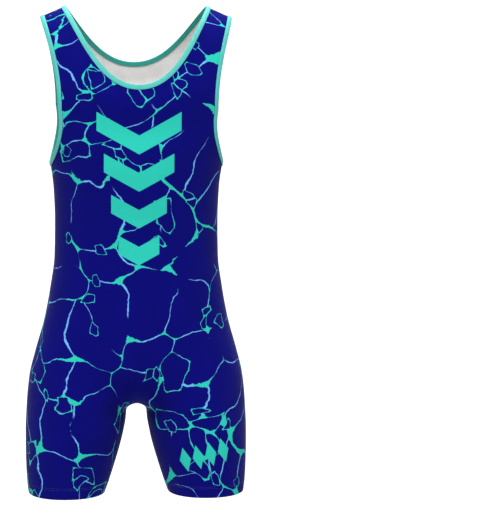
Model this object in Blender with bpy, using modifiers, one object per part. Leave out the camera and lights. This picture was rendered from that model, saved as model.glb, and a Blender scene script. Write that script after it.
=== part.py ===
"""A wrestling singlet, filled out as it is when worn, with nobody in it.

It is made as a sewer makes it: a front and a back cut in one with the legs, butted together at the
shoulders, sides and inside legs, with a binding folded over the neck edge and over each armhole,
and a hem turned up inside each leg. Metres, +Z up, the front faces -Y. The origin lies midway
between the two shoulder straps, at the height of their middles, where the wearer's shoulders are.
"""

import math
from collections import namedtuple

import bpy
import numpy as np

# Cloth and sewing
CLOTH = 0.0012                # the panels' wall
BINDING = 0.0010              # the binding tape's wall
SEAM_GAP = 0.0003             # between two panels that meet edge to edge
BINDING_WIDTH = 0.0060        # how far the binding reaches in over a panel
BINDING_START = 0.0009        # where its fold begins, out past a panel's edge
BINDING_FOLD = 0.0017         # and how far out it goes
GAP_OUTSIDE = 0.00045         # between a panel and the binding's outer half
GAP_INSIDE = 0.00080          # and its inner half, which lies inside the curve
HEM_DEPTH = 0.022             # how far the leg hem is turned up
HEM_GAP = 0.0004              # between a leg and its turned up hem

# Heights, from the straps' middles
SHOULDER = 0.0
CHEST = -0.160                # above this the form rounds back to the shoulder line
CREST = SHOULDER - CHEST
TOP = CHEST + CREST * math.pi / 2
UNDERARM = -0.2525
EVEN = -0.330                 # from here down the rows of the mesh are level
CROTCH = -0.668
HEM = -0.8215

# Shoulder line and edges, seen from the front
STRAP_MIDDLE = 0.1405         # half the distance between the straps' middles
STRAP_INNER = 0.1195
STRAP_OUTER = 0.1605
SHOULDER_SLOPE = 0.44
FRONT_NECK = -0.1180          # lowest point of the front neck edge
BACK_NECK = -0.0890
ARMHOLE_FRONT = 0.1320        # half the distance across the front between the armholes
ARMHOLE_BACK = 0.1345

# Fork between the legs
ARCH_HALF = 0.0165            # half the width of the arch's flat top
ARCH_DROP = 0.013
FRONT_FORK = 0.080            # how far above the crotch the front starts to part
BACK_FORK = 0.100
THIGH_BLEND = 0.160           # and over what height the thighs shape the panels
SADDLE = 0.020                # how softly the two sides meet over the crotch

# The mesh of half a panel: rows down to where the neck edge and the armhole turn level, and on
NECK_ROWS, ARM_ROWS, RIB_ROWS, BODY_ROWS, FORK_ROWS, THIGH_ROWS = 10, 17, 8, 11, 8, 4
NECK_COLUMNS, ARM_COLUMN, COLUMNS = 5, 9, 15
NECK_CORNER, ARM_CORNER = 0.72, 0.78
NARROW = 0.0022               # the first step in from a seam, so that walls meet there squarely
NARROW_SHARE = 0.016
FORK_SPAN = 0.060

FRONT, BACK = -1, 1

# The outline seen from the front, and how far back from the middle the side seams stand.
Outline = namedtuple("Outline", "height half_width seam")
OUTLINE = (
    Outline(SHOULDER, 0.2080, 0.0120),
    Outline(-0.0800, 0.1900, 0.0060),
    Outline(CHEST, 0.1720, 0.0000),
    Outline(-0.2150, 0.1570, 0.0000),
    Outline(UNDERARM, 0.1460, 0.0000),
    Outline(-0.3000, 0.1398, 0.0000),
    Outline(-0.3500, 0.1380, 0.0000),
    Outline(-0.4100, 0.1390, 0.0000),
    Outline(-0.4650, 0.1462, 0.0010),
    Outline(-0.5200, 0.1567, 0.0025),
    Outline(-0.5760, 0.1724, 0.0045),
    Outline(-0.6180, 0.1826, 0.0065),
    Outline(CROTCH, 0.1876, 0.0080),
    Outline(-0.7160, 0.1896, 0.0065),
    Outline(-0.7440, 0.1896, 0.0050),
    Outline(-0.7720, 0.1890, 0.0035),
    Outline(-0.8000, 0.1875, 0.0020),
    Outline(HEM, 0.1852, 0.0010),
)

# The body's rings: how far the front and the back stand out from the side seams.
Section = namedtuple("Section", "height front back fullness")
TORSO = (
    Section(SHOULDER, 0.1060, 0.0980, 2.10),
    Section(-0.0800, 0.1120, 0.1080, 2.15),
    Section(CHEST, 0.1150, 0.1110, 2.20),
    Section(-0.2150, 0.1160, 0.1070, 2.22),
    Section(UNDERARM, 0.1140, 0.1020, 2.25),
    Section(-0.3000, 0.1090, 0.0950, 2.28),
    Section(-0.3500, 0.1020, 0.0880, 2.30),
    Section(-0.4100, 0.0990, 0.0870, 2.30),
    Section(-0.4650, 0.1000, 0.0950, 2.28),
    Section(-0.5200, 0.1010, 0.1060, 2.25),
    Section(-0.5760, 0.1005, 0.1170, 2.20),
    Section(-0.6180, 0.0990, 0.1200, 2.15),
    Section(CROTCH, 0.0970, 0.1170, 2.10),
)

# A leg's rings. Inner is what its inside line flares out beyond the arch.
Ring = namedtuple("Ring", "height inner front back")
LEG = (
    Ring(-0.5600, 0.0000, 0.0975, 0.1150),
    Ring(-0.6200, 0.0000, 0.0955, 0.1115),
    Ring(CROTCH, 0.0000, 0.0935, 0.1070),
    Ring(-0.6900, 0.0012, 0.0922, 0.1050),
    Ring(-0.7160, 0.0058, 0.0898, 0.1028),
    Ring(-0.7440, 0.0128, 0.0850, 0.1000),
    Ring(-0.7720, 0.0212, 0.0790, 0.0970),
    Ring(-0.8000, 0.0302, 0.0730, 0.0930),
    Ring(HEM, 0.0378, 0.0690, 0.0890),
)
LEG_FULLNESS = 2.1


def column(table, name, height):
    """One column of a table at any height, on a smooth curve that never overshoots its rows."""
    rows = sorted(table)
    x = np.array([row.height for row in rows])
    y = np.array([getattr(row, name) for row in rows])
    step, rise = np.diff(x), np.diff(y) / np.diff(x)
    slope = np.zeros(len(x))
    same_way = rise[:-1] * rise[1:] > 0
    weight = (step[1:] + 2 * step[:-1]) / 3 / (step[1:] + step[:-1])
    blended = weight * rise[1:] + (1 - weight) * rise[:-1]
    harmonic = rise[:-1] * rise[1:] / np.where(same_way, blended, 1.0)
    slope[1:-1] = np.where(same_way, harmonic, 0.0)
    slope[0], slope[-1] = rise[0], rise[-1]
    height = np.clip(np.asarray(height, float), x[0], x[-1])
    i = np.clip(np.searchsorted(x, height) - 1, 0, len(x) - 2)
    t = (height - x[i]) / step[i]
    return ((1 + 2 * t) * (1 - t) ** 2 * y[i] + t * (1 - t) ** 2 * step[i] * slope[i]
            + t * t * (3 - 2 * t) * y[i + 1] + t * t * (t - 1) * step[i] * slope[i + 1])


def superellipse(turn, fullness):
    """How far across and how far out a point lies on a ring of half sizes 1, at this turn."""
    across, out = np.sin(turn), np.cos(turn)
    reach = (np.abs(across) ** fullness + np.abs(out) ** fullness) ** (-1 / fullness)
    return across * reach, out * reach


def quarter_curve(across, fullness):
    """How far out a curve of half sizes 1 lies: 1 at its middle and 0 at its end."""
    return (1 - np.clip(across, 0, 1) ** fullness) ** (1 / fullness)


def shoulder_height(x):
    return SHOULDER_SLOPE * (STRAP_MIDDLE - x)


def body_point(side, turn, level):
    """A point on the front or the back of the body.

    turn goes from 0 at the centre line to a quarter turn at the side. level is the height up to
    the chest. Above it level counts along the curve that rounds back to the shoulder line, which
    it reaches at TOP.
    """
    lean = np.maximum(level - CHEST, 0) / CREST
    height = np.where(lean > 0, CHEST + CREST * np.sin(lean), level)
    across, out = superellipse(turn, column(TORSO, "fullness", height))
    depth = column(TORSO, "front" if side == FRONT else "back", height) * np.cos(lean)
    x = column(OUTLINE, "half_width", height) * across
    y = column(OUTLINE, "seam", height) + side * depth * out
    z = np.where(lean > 0, CHEST + np.sin(lean) * (shoulder_height(x) - CHEST), level)
    return np.stack([x, y, z], axis=-1)


def turn_and_level(x, z):
    """The turn and level at which body_point has this x and z."""
    lean = np.arcsin(np.clip((z - CHEST) / (shoulder_height(x) - CHEST), 0, 1))
    height = np.where(z > CHEST, CHEST + CREST * np.sin(lean), z)
    fullness = column(TORSO, "fullness", height)
    across = np.clip(x / column(OUTLINE, "half_width", height), 0, 1)
    turn = np.arctan2(across, (1 - across ** fullness) ** (1 / fullness))
    return turn, np.where(z > CHEST, CHEST + CREST * lean, z)


def tangents(side, turn, level, step=1e-4):
    """How body_point moves for a unit of turn and for a unit of level."""
    by_turn = body_point(side, turn + step, level) - body_point(side, turn - step, level)
    by_level = body_point(side, turn, level + step) - body_point(side, turn, level - step)
    return by_turn / (2 * step), by_level / (2 * step)


def outward(side, turn, level):
    normal = np.cross(*tangents(side, turn, level)) * -side
    return normal / np.linalg.norm(normal, axis=-1, keepdims=True)


def nearest(side, points, turn, level):
    """The turn and level of the body's points nearest to these, starting from a close guess."""
    for _ in range(4):
        by_turn, by_level = tangents(side, turn, level)
        miss = points - body_point(side, turn, level)
        a, b, c = ((p * q).sum(-1) for p, q in
                   ((by_turn, by_turn), (by_turn, by_level), (by_level, by_level)))
        d, e = (miss * by_turn).sum(-1), (miss * by_level).sum(-1)
        turn = turn + (d * c - e * b) / (a * c - b * b)
        level = level + (e * a - d * b) / (a * c - b * b)
    return turn, level


def smooth(t):
    t = np.clip(t, 0, 1)
    return t * t * (3 - 2 * t)


def lower_point(side, share, level, inset=0.0):
    """A point on the seat and hips, where they part into the legs, or on a leg.

    share goes from 0 at the centre line or inside leg to 1 at the side. Over THIGH_BLEND above
    the crotch the depth goes from the body's to the thigh's. A valley on the centre line deepens
    over the fork's height until at the crotch it parts the legs, as a rounded saddle.
    """
    rise, drop = np.maximum(level - CROTCH, 0), np.maximum(CROTCH - level, 0)
    flare = column(LEG, "inner", level) + inset * (drop > 0)
    inner = flare + ARCH_HALF * np.sqrt(1 - (1 - np.clip(drop / ARCH_DROP, 0, 1)) ** 2)
    outer = column(OUTLINE, "half_width", level) - inset
    middle = (flare + ARCH_HALF * smooth(drop / FORK_SPAN) + outer) / 2

    # Columns stand as on the body above, gather at the crotch, and spread round the leg below.
    spread = smooth(1 - drop / FORK_SPAN)
    share = share * (1 - 0.78 * smooth(1 - (rise + drop) / FORK_SPAN) * (1 - share))
    fullness = column(TORSO, "fullness", level)
    as_body = superellipse(share * math.pi / 2, fullness)[0]
    as_leg = (1 + superellipse(math.pi * (share - 0.5), LEG_FULLNESS)[0]) / 2
    x = inner + (outer - inner) * (as_leg + spread * (as_body - as_leg))

    name, fork = ("front", FRONT_FORK) if side == FRONT else ("back", BACK_FORK)
    near = smooth(1 - rise / THIGH_BLEND)
    body_depth = column(TORSO, name, level) * quarter_curve(x / outer, fullness)
    thigh = (column(LEG, name, level) - inset) * quarter_curve(
        (x - middle) / (outer - middle), LEG_FULLNESS)
    depth = body_depth + near * (thigh - body_depth)
    bend = SADDLE * spread + rise ** 2 / (2 * rise + 0.040)
    away = (np.hypot(x, bend) - np.hypot(inner, bend)) / (
        np.hypot(middle, bend) - np.hypot(inner, bend))
    depth = depth * quarter_curve(np.clip(1 - rise / fork, 0, 1) * (1 - away), LEG_FULLNESS)
    y = column(OUTLINE, "seam", level) + side * depth
    return np.stack([x, y, np.broadcast_to(level, x.shape)], axis=-1)


def panel_point(side, share, turn, level):
    """A point of the front or back panel, on the body or below it."""
    lower = lower_point(side, share, np.minimum(level, CROTCH + THIGH_BLEND))
    return np.where((level < CROTCH + THIGH_BLEND)[..., None], lower,
                    body_point(side, turn, level))


def bezier(points, t):
    a, b, c, d = (np.array(p)[:, None] for p in points)
    return a * (1 - t) ** 3 + 3 * b * t * (1 - t) ** 2 + 3 * c * t ** 2 * (1 - t) + d * t ** 3


def fine_steps(count=400):
    """Steps from 0 to 1 that are finest at 0, where an edge comes over the shoulder."""
    return np.linspace(0, 1, count) ** 2


def neck_edge(side):
    """Turns and levels from the shoulder down to the lowest point of the neck, closely spaced."""
    low, handle, lean, slope = (
        (FRONT_NECK, 0.060, 0.031, 1.64) if side == FRONT else (BACK_NECK, 0.056, 0.033, 1.36)
    )
    top = shoulder_height(STRAP_INNER)
    end = (STRAP_INNER - lean, top - slope * lean)
    x, z = bezier(((STRAP_INNER, top), end, (handle, low), (0.0, low)), fine_steps())
    return turn_and_level(x, z)


def arm_edge(side):
    """Turns and levels from the shoulder down the armhole to the underarm, closely spaced."""
    reach = ARMHOLE_FRONT if side == FRONT else ARMHOLE_BACK
    top = shoulder_height(STRAP_OUTER)
    end, straight = (STRAP_OUTER - 0.0155, top - 0.050), (reach, CHEST + 0.060)
    x, z = bezier(((STRAP_OUTER, top), end, straight, (reach, CHEST)), fine_steps())
    turn, level = turn_and_level(x, z)
    angle = np.linspace(0, math.pi / 2, len(turn))[1:]
    lower_turn = math.pi / 2 - (math.pi / 2 - turn[-1]) * np.cos(angle)
    lower_level = CHEST - (CHEST - UNDERARM) * np.sin(angle)
    return np.concatenate([turn, lower_turn]), np.concatenate([level, lower_level])


def lengths_along(side, turn, level):
    steps = np.linalg.norm(np.diff(body_point(side, turn, level), axis=0), axis=1)
    return np.concatenate([[0], np.cumsum(steps)])


def binding_reach(side, turn, level, last_along, corner):
    """For stations along an edge: the turn and level where the binding on them ends.

    last_along is the way the edge runs at its last station, where it crosses the centre line or
    the side seam, and the panel lies straight below. At the corner, where rows give way to
    columns, the mesh's point lies further in, to keep its faces well shaped.
    """
    edge = body_point(side, turn, level)
    along = np.gradient(edge, lengths_along(side, turn, level), axis=0)
    along[0], along[-1] = (0, side, 0), last_along
    inward = np.cross(outward(side, turn, level), along)
    inward *= (BINDING_WIDTH / np.linalg.norm(inward, axis=1))[:, None]
    inward[corner] *= 1.5
    return np.stack(nearest(side, edge - inward * np.sign(inward[-1, 2]), turn, level))


def edge_stations(side, edge, rows, columns, corner_share):
    """Even stations down an edge as far as its corner, then even ones along it to its end."""
    length = lengths_along(side, *edge)
    corner, end = length[-1] * corner_share, length[-1]
    at = np.concatenate([[0], np.linspace(NARROW, corner, rows),
                         np.linspace(corner, end - NARROW, columns)[1:], [end]])
    return np.stack([np.interp(at, length, edge[0]), np.interp(at, length, edge[1])])


def column_shares():
    """How far across each column stands. The ones beside the seams are narrow."""
    between = np.linspace(NARROW_SHARE, 1 - NARROW_SHARE, COLUMNS - 1)
    return np.concatenate([[0], between, [1]])


def upper_rows(side):
    """Turn and level of the panel's points from the shoulder down to EVEN, and which are in use.

    The strap's columns start at the shoulder, those under the neck at row NECK_ROWS and those
    under the arm at row ARM_ROWS. Edges and bindings fix their points, and the rest are spread
    evenly between.
    """
    count = ARM_ROWS + RIB_ROWS
    where = np.zeros((2, count + 1, COLUMNS + 1))
    used = np.ones((count + 1, COLUMNS + 1), bool)
    used[:NECK_ROWS, :NECK_COLUMNS] = False
    used[:ARM_ROWS, ARM_COLUMN + 1:] = False
    neck = edge_stations(side, neck_edge(side), NECK_ROWS, NECK_COLUMNS, NECK_CORNER)
    arm = edge_stations(side, arm_edge(side), ARM_ROWS, COLUMNS - ARM_COLUMN, ARM_CORNER)

    # The frame of the block: edges first, and a first guess of what lies between.
    where[0] = column_shares() * math.pi / 2
    where[1] = np.linspace(TOP, EVEN, count + 1)[:, None]
    where[:, :NECK_ROWS, NECK_COLUMNS] = neck[:, :NECK_ROWS]
    where[:, NECK_ROWS, :NECK_COLUMNS + 1] = neck[:, NECK_ROWS:][:, ::-1]
    where[:, :ARM_ROWS, ARM_COLUMN] = arm[:, :ARM_ROWS]
    where[:, ARM_ROWS, ARM_COLUMN:] = arm[:, ARM_ROWS:]
    where[:, 0, NECK_COLUMNS:ARM_COLUMN + 1] = np.linspace(
        neck[:, 0], arm[:, 0], ARM_COLUMN - NECK_COLUMNS + 1, axis=1)
    where[1, -1] = EVEN

    neck_end = binding_reach(side, *neck, (-1, 0, 0), NECK_ROWS)
    arm_end = binding_reach(side, *arm, (0, -side, 0), ARM_ROWS)

    fixed = ~used
    fixed[:NECK_ROWS + 2, :NECK_COLUMNS + 2] = True
    fixed[:ARM_ROWS + 2, ARM_COLUMN - 1:] = True
    fixed[[0, -1]] = True
    fixed[NECK_ROWS + 2:, 0] = fixed[ARM_ROWS + 2:, -1] = True
    inner, outer = NECK_COLUMNS + 1, ARM_COLUMN - 1
    where[:, 1:NECK_ROWS, inner] = neck_end[:, 1:NECK_ROWS]
    where[:, NECK_ROWS + 1, :NECK_COLUMNS] = neck_end[:, NECK_ROWS + 1:][:, ::-1]
    where[:, NECK_ROWS + 1, inner] = neck_end[:, NECK_ROWS]
    where[:, NECK_ROWS, inner] = neck_end[:, NECK_ROWS - 1:NECK_ROWS + 1].mean(axis=1)
    where[:, NECK_ROWS + 1, NECK_COLUMNS] = neck_end[:, NECK_ROWS:NECK_ROWS + 2].mean(axis=1)
    where[:, 1:ARM_ROWS, outer] = arm_end[:, 1:ARM_ROWS]
    where[:, ARM_ROWS + 1, ARM_COLUMN + 1:] = arm_end[:, ARM_ROWS + 1:]
    where[:, ARM_ROWS + 1, outer] = arm_end[:, ARM_ROWS]
    where[:, ARM_ROWS, outer] = arm_end[:, ARM_ROWS - 1:ARM_ROWS + 1].mean(axis=1)
    where[:, ARM_ROWS + 1, ARM_COLUMN] = arm_end[:, ARM_ROWS:ARM_ROWS + 2].mean(axis=1)
    where[:, 0, inner], where[:, 0, outer] = neck_end[:, 0], arm_end[:, 0]
    where[1, NECK_ROWS + 1:, 0] = np.linspace(neck_end[1, -1], EVEN, count - NECK_ROWS)
    where[1, ARM_ROWS + 1:, -1] = np.linspace(arm_end[1, -1], EVEN, RIB_ROWS)
    for row, edge, beside in ((NECK_ROWS, 0, 1), (ARM_ROWS, -1, -2)):
        where[0, row + 2:, beside] = where[0, -1, beside]
        where[1, row + 2:, beside] = where[1, row + 2:, edge]
        fixed[row + 2:, beside] = True

    free = ~fixed[1:-1, 1:-1]
    for _ in range(1500):
        mean = (where[:, :-2, 1:-1] + where[:, 2:, 1:-1]
                + where[:, 1:-1, :-2] + where[:, 1:-1, 2:]) / 4
        where[:, 1:-1, 1:-1] = np.where(free, mean, where[:, 1:-1, 1:-1])
    return where, used


def panel_grid(side):
    """Points of the right half of a panel, row by row from the shoulder to the hem's edge.

    With them come each point's turn and level, and which points are in use.
    """
    (turn, level), used = upper_rows(side)
    down = np.concatenate([
        np.linspace(EVEN, CROTCH + FORK_SPAN, BODY_ROWS + 1)[1:],
        CROTCH + (np.arange(FORK_ROWS - 1, 0, -1) / FORK_ROWS) ** 2.5 * FORK_SPAN,
        CROTCH - (np.arange(0, FORK_ROWS + 1) / FORK_ROWS) ** 2.5 * FORK_SPAN,
        np.linspace(CROTCH - FORK_SPAN, HEM, THIGH_ROWS + 1)[1:],
    ])
    share = column_shares()
    turn = np.concatenate([turn, np.tile(share * math.pi / 2, (len(down), 1))])
    level = np.concatenate([level, np.tile(down[:, None], COLUMNS + 1)])
    used = np.concatenate([used, np.ones((len(down), COLUMNS + 1), bool)])
    grid = panel_point(side, np.broadcast_to(share, turn.shape), turn, level)
    grid[..., 1] += side * SEAM_GAP / 2
    return grid, turn, level, used


def with_hem(side, grid):
    """The same rows, and two more for the hem that is turned up inside the leg."""
    fold = 2 * CLOTH + HEM_GAP
    hem = np.stack([
        lower_point(side, column_shares(), z, inset=fold) for z in (HEM, HEM + HEM_DEPTH)])
    hem[..., 1] += side * SEAM_GAP / 2
    return np.concatenate([grid, hem])


def sheet_object(name, grid, used, collection):
    """An open sheet over those squares of a grid of points whose four corners are in use."""
    index = np.arange(used.size).reshape(used.shape)
    corners = (slice(None, -1), slice(None, -1)), (slice(1, None), slice(None, -1)), \
              (slice(1, None), slice(1, None)), (slice(None, -1), slice(1, None))
    quads = np.stack([index[c] for c in corners], axis=-1)
    quads = quads[np.logical_and.reduce([used[c] for c in corners])]
    kept, quads = np.unique(quads, return_inverse=True)
    mesh = bpy.data.meshes.new(name)
    mesh.from_pydata(grid.reshape(-1, 3)[kept].tolist(), [], quads.reshape(-1, 4).tolist())
    mesh.update()
    mesh.shade_smooth()
    obj = bpy.data.objects.new(name, mesh)
    collection.objects.link(obj)
    return obj


def add_wall(obj, thickness, offset):
    solidify = obj.modifiers.new("wall", "SOLIDIFY")
    solidify.thickness = thickness
    solidify.offset = offset
    solidify.use_even_offset = True
    solidify.use_quality_normals = True
    return obj


def make_panel(name, side, collection, finish):
    """One panel: its right half, mirrored, given its wall inwards from the outline."""
    grid, _, _, used = panel_grid(side)
    grid = with_hem(side, grid)
    used = np.concatenate([used, used[-2:]])
    if side == BACK:
        grid, used = grid[:, ::-1], used[:, ::-1]
    obj = sheet_object(name, grid, used, collection)
    mirror = obj.modifiers.new("other half", "MIRROR")
    mirror.merge_threshold = 0.0001
    add_wall(obj, CLOTH, -1.0)
    obj.data.materials.append(finish)
    return obj


def binding_run(side, neck):
    """The folded tape's section at each station of one panel's edge, from the shoulder down.

    A section has five points: over the panel, at its edge, round it, at its edge inside, and over
    the panel's inside. Each is made from the panel's own points, moved out or in.
    """
    grid, turn, level, _ = panel_grid(side)
    if neck:
        corner, stop, step = (NECK_ROWS, NECK_COLUMNS), 0, -1
    else:
        corner, stop, step = (ARM_ROWS, ARM_COLUMN), COLUMNS, 1
    down, along = list(range(corner[0] + 1)), list(range(corner[1] + step, stop + step, step))
    rows = np.array(down + [corner[0]] * len(along))
    columns = np.array([corner[1]] * len(down) + along)
    end_rows = np.array(down[:-1] + [corner[0] + 1] * (len(along) + 1))
    end_columns = np.array([corner[1] - step] * len(down) + along)
    edge, end = grid[rows, columns], grid[end_rows, end_columns]
    edge_normal = outward(side, turn[rows, columns], level[rows, columns])
    end_normal = outward(side, turn[end_rows, end_columns], level[end_rows, end_columns])
    inward = (end - edge) / np.linalg.norm(end - edge, axis=1, keepdims=True)
    end = edge + inward * BINDING_WIDTH
    over, under = GAP_OUTSIDE + BINDING / 2, CLOTH + GAP_INSIDE + BINDING / 2
    return np.stack([
        end + end_normal * over,
        edge + edge_normal * over - inward * BINDING_START,
        edge + edge_normal * (over - under) / 2 - inward * BINDING_FOLD,
        edge - edge_normal * under - inward * BINDING_START,
        end - end_normal * under,
    ], axis=1)


def joined(first, second):
    """Two runs as one, the second going on from where the first ends, at a seam."""
    seam = (first[-1:] + second[:1]) / 2
    return np.concatenate([first[:-1], seam, second[1:]])


def binding_object(name, ring, collection, finish):
    ring = np.concatenate([ring, ring[:1]])
    obj = sheet_object(name, ring, np.ones(ring.shape[:2], bool), collection)
    weld = obj.modifiers.new("closed ring", "WELD")
    weld.merge_threshold = 0.00001
    add_wall(obj, BINDING, 0.0)
    obj.data.materials.append(finish)
    return obj


def make_neck_binding(collection, finish):
    half = joined(binding_run(FRONT, neck=True)[::-1], binding_run(BACK, neck=True))
    half[[0, -1], :, 0] = 0.0
    other = (half * (-1, 1, 1))[::-1][1:-1]
    return binding_object("neck_binding", np.concatenate([half, other]), collection, finish)


def make_armhole_binding(name, mirror, collection, finish):
    half = joined(binding_run(FRONT, neck=False)[::-1], binding_run(BACK, neck=False))
    ring = np.concatenate([(half[:1] + half[-1:]) / 2, half[1:-1]])
    ring = (ring * (-1, 1, 1))[::-1] if mirror else ring
    return binding_object(name, ring[::-1], collection, finish)


def make_finish(name, colour, roughness):
    material = bpy.data.materials.new(name)
    material.use_nodes = True
    shader = material.node_tree.nodes["Principled BSDF"]
    shader.inputs["Base Color"].default_value = (*colour, 1.0)
    shader.inputs["Roughness"].default_value = roughness
    return material


def main():
    for obj in list(bpy.data.objects):
        bpy.data.objects.remove(obj)
    collection = bpy.data.collections.new("wrestling_singlet")
    bpy.context.scene.collection.children.link(collection)
    blue = make_finish("blue_tricot", (0.008, 0.008, 0.180), 0.55)
    teal = make_finish("teal_binding", (0.060, 0.580, 0.500), 0.60)
    make_panel("front", FRONT, collection, blue)
    make_panel("back", BACK, collection, blue)
    make_neck_binding(collection, teal)
    make_armhole_binding("armhole_binding_left", False, collection, teal)
    make_armhole_binding("armhole_binding_right", True, collection, teal)


main()
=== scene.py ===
# %% [markdown]
# # A wrestling singlet, dressed
#
# The real garment is two panels of printed stretch knit, a front and a back, each cut in one with the
# legs. They are sewn at the shoulders, sides and inside legs. A tape is folded over the neck edge and
# over each armhole, and each leg ends in a hem turned up inside. The frame holds these pieces as plain
# solids. This script makes the fine cloth on the same form, its print, its sewing and its picture.

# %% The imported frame
import math
from collections import namedtuple

import bpy
import numpy as np
from mathutils import Matrix, Vector
from mathutils.bvhtree import BVHTree


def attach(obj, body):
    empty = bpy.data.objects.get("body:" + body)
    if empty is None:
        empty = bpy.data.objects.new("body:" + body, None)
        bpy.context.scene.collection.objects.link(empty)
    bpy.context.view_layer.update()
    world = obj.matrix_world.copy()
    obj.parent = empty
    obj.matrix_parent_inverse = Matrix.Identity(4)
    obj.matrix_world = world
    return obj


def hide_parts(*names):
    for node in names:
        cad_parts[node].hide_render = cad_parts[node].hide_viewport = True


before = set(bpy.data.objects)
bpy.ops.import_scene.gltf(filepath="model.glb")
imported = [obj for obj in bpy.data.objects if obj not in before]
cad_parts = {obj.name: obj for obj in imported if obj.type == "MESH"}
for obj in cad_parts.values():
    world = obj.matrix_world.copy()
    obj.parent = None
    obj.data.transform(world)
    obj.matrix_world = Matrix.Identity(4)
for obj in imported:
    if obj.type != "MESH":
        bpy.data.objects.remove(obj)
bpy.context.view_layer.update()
print("frame:", ", ".join(sorted(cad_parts)))

# %% [markdown]
# ## The form
#
# Knitwear like this has no shape of its own: it takes the wearer's. So the form is a list of sizes, one
# row for each height, and curves that never overshoot between the rows. The same tables shaped the
# solids, which is why the fine cloth lies exactly on them.

# %% Sizes of the cloth, in metres
CLOTH = 0.0008                # the knit's wall
SEAM_GAP = -0.0002            # between two panels at a seam: below zero, so no light shows through
BINDING_WIDTH = 0.0066        # how far the folded tape reaches in over a panel
HEM_DEPTH = 0.022             # how far the leg hem is turned up
HEM_FOLD = 0.0028             # between the leg's outer face and the turned up hem's inner one

# Heights. From EVEN down the rows of both panels are level.
SHOULDER, CHEST, UNDERARM, EVEN, CROTCH, HEM = 0.0, -0.160, -0.2525, -0.330, -0.668, -0.8215
# Above the chest the rows follow a quarter circle, which reaches the shoulder line at TOP.
CREST = SHOULDER - CHEST
TOP = CHEST + CREST * math.pi / 2
# How far out the strap stands and how its shoulder line falls. Then the neck and the armholes.
STRAP_MIDDLE, STRAP_INNER, STRAP_OUTER, SHOULDER_SLOPE = 0.1405, 0.1195, 0.1605, 0.44
FRONT_NECK, BACK_NECK, ARMHOLE_FRONT, ARMHOLE_BACK = -0.1180, -0.0890, 0.1320, 0.1345
# The arch between the legs, the valleys above it, and how the body parts into the legs.
ARCH_HALF, ARCH_DROP, FRONT_FORK, BACK_FORK = 0.0165, 0.013, 0.080, 0.100
THIGH_BLEND, SADDLE, FORK_SPAN, LEG_FULLNESS = 0.160, 0.020, 0.060, 2.1
SADDLE_SPAN, GATHER = 0.040, 0.78       # GATHER is how much the columns close up at the crotch
FRONT, BACK = -1, 1
print("garment:", round(SHOULDER - HEM, 4), "m from the straps' middles to the hems")

# %% The outline and the rings
# The outline seen from the front, and how far back from the middle the side seams stand.
Outline = namedtuple("Outline", "height half_width seam")
OUTLINE = (
    Outline(SHOULDER, 0.2080, 0.0120),
    Outline(-0.0800, 0.1900, 0.0060),
    Outline(CHEST, 0.1720, 0.0000),
    Outline(-0.2150, 0.1570, 0.0000),
    Outline(UNDERARM, 0.1460, 0.0000),
    Outline(-0.3000, 0.1398, 0.0000),
    Outline(-0.3500, 0.1380, 0.0000),
    Outline(-0.4100, 0.1390, 0.0000),
    Outline(-0.4650, 0.1462, 0.0010),
    Outline(-0.5200, 0.1567, 0.0025),
    Outline(-0.5760, 0.1724, 0.0045),
    Outline(-0.6180, 0.1826, 0.0065),
    Outline(CROTCH, 0.1876, 0.0080),
    Outline(-0.7160, 0.1896, 0.0065),
    Outline(-0.7440, 0.1896, 0.0050),
    Outline(-0.7720, 0.1890, 0.0035),
    Outline(-0.8000, 0.1875, 0.0020),
    Outline(HEM, 0.1852, 0.0010),
)

# The body's rings: how far the front and the back stand out from the side seams.
Section = namedtuple("Section", "height front back fullness")
TORSO = (
    Section(SHOULDER, 0.1060, 0.0980, 2.10),
    Section(-0.0800, 0.1120, 0.1080, 2.15),
    Section(CHEST, 0.1150, 0.1110, 2.20),
    Section(-0.2150, 0.1160, 0.1070, 2.22),
    Section(UNDERARM, 0.1140, 0.1020, 2.25),
    Section(-0.3000, 0.1090, 0.0950, 2.28),
    Section(-0.3500, 0.1020, 0.0880, 2.30),
    Section(-0.4100, 0.0990, 0.0870, 2.30),
    Section(-0.4650, 0.1000, 0.0950, 2.28),
    Section(-0.5200, 0.1010, 0.1060, 2.25),
    Section(-0.5760, 0.1005, 0.1170, 2.20),
    Section(-0.6180, 0.0990, 0.1200, 2.15),
    Section(CROTCH, 0.0970, 0.1170, 2.10),
)

# A leg's rings. Inner is what its inside line flares out beyond the arch.
Ring = namedtuple("Ring", "height inner front back")
LEG = (
    Ring(-0.5600, 0.0000, 0.0975, 0.1150),
    Ring(-0.6200, 0.0000, 0.0955, 0.1115),
    Ring(CROTCH, 0.0000, 0.0935, 0.1070),
    Ring(-0.6900, 0.0012, 0.0922, 0.1050),
    Ring(-0.7160, 0.0058, 0.0898, 0.1028),
    Ring(-0.7440, 0.0128, 0.0850, 0.1000),
    Ring(-0.7720, 0.0212, 0.0790, 0.0970),
    Ring(-0.8000, 0.0302, 0.0730, 0.0930),
    Ring(HEM, 0.0378, 0.0690, 0.0890),
)
print(len(OUTLINE), "rows of outline,", len(TORSO), "rings of the body,", len(LEG), "of a leg")

# %% [markdown]
# A ring of the body is a superellipse, a curve between an ellipse and a box. Its fullness says which.
# Between the rows the sizes follow a curve that turns only where they do. A plain spline would swing
# past them, and the cloth would show it as rolls.

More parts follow.
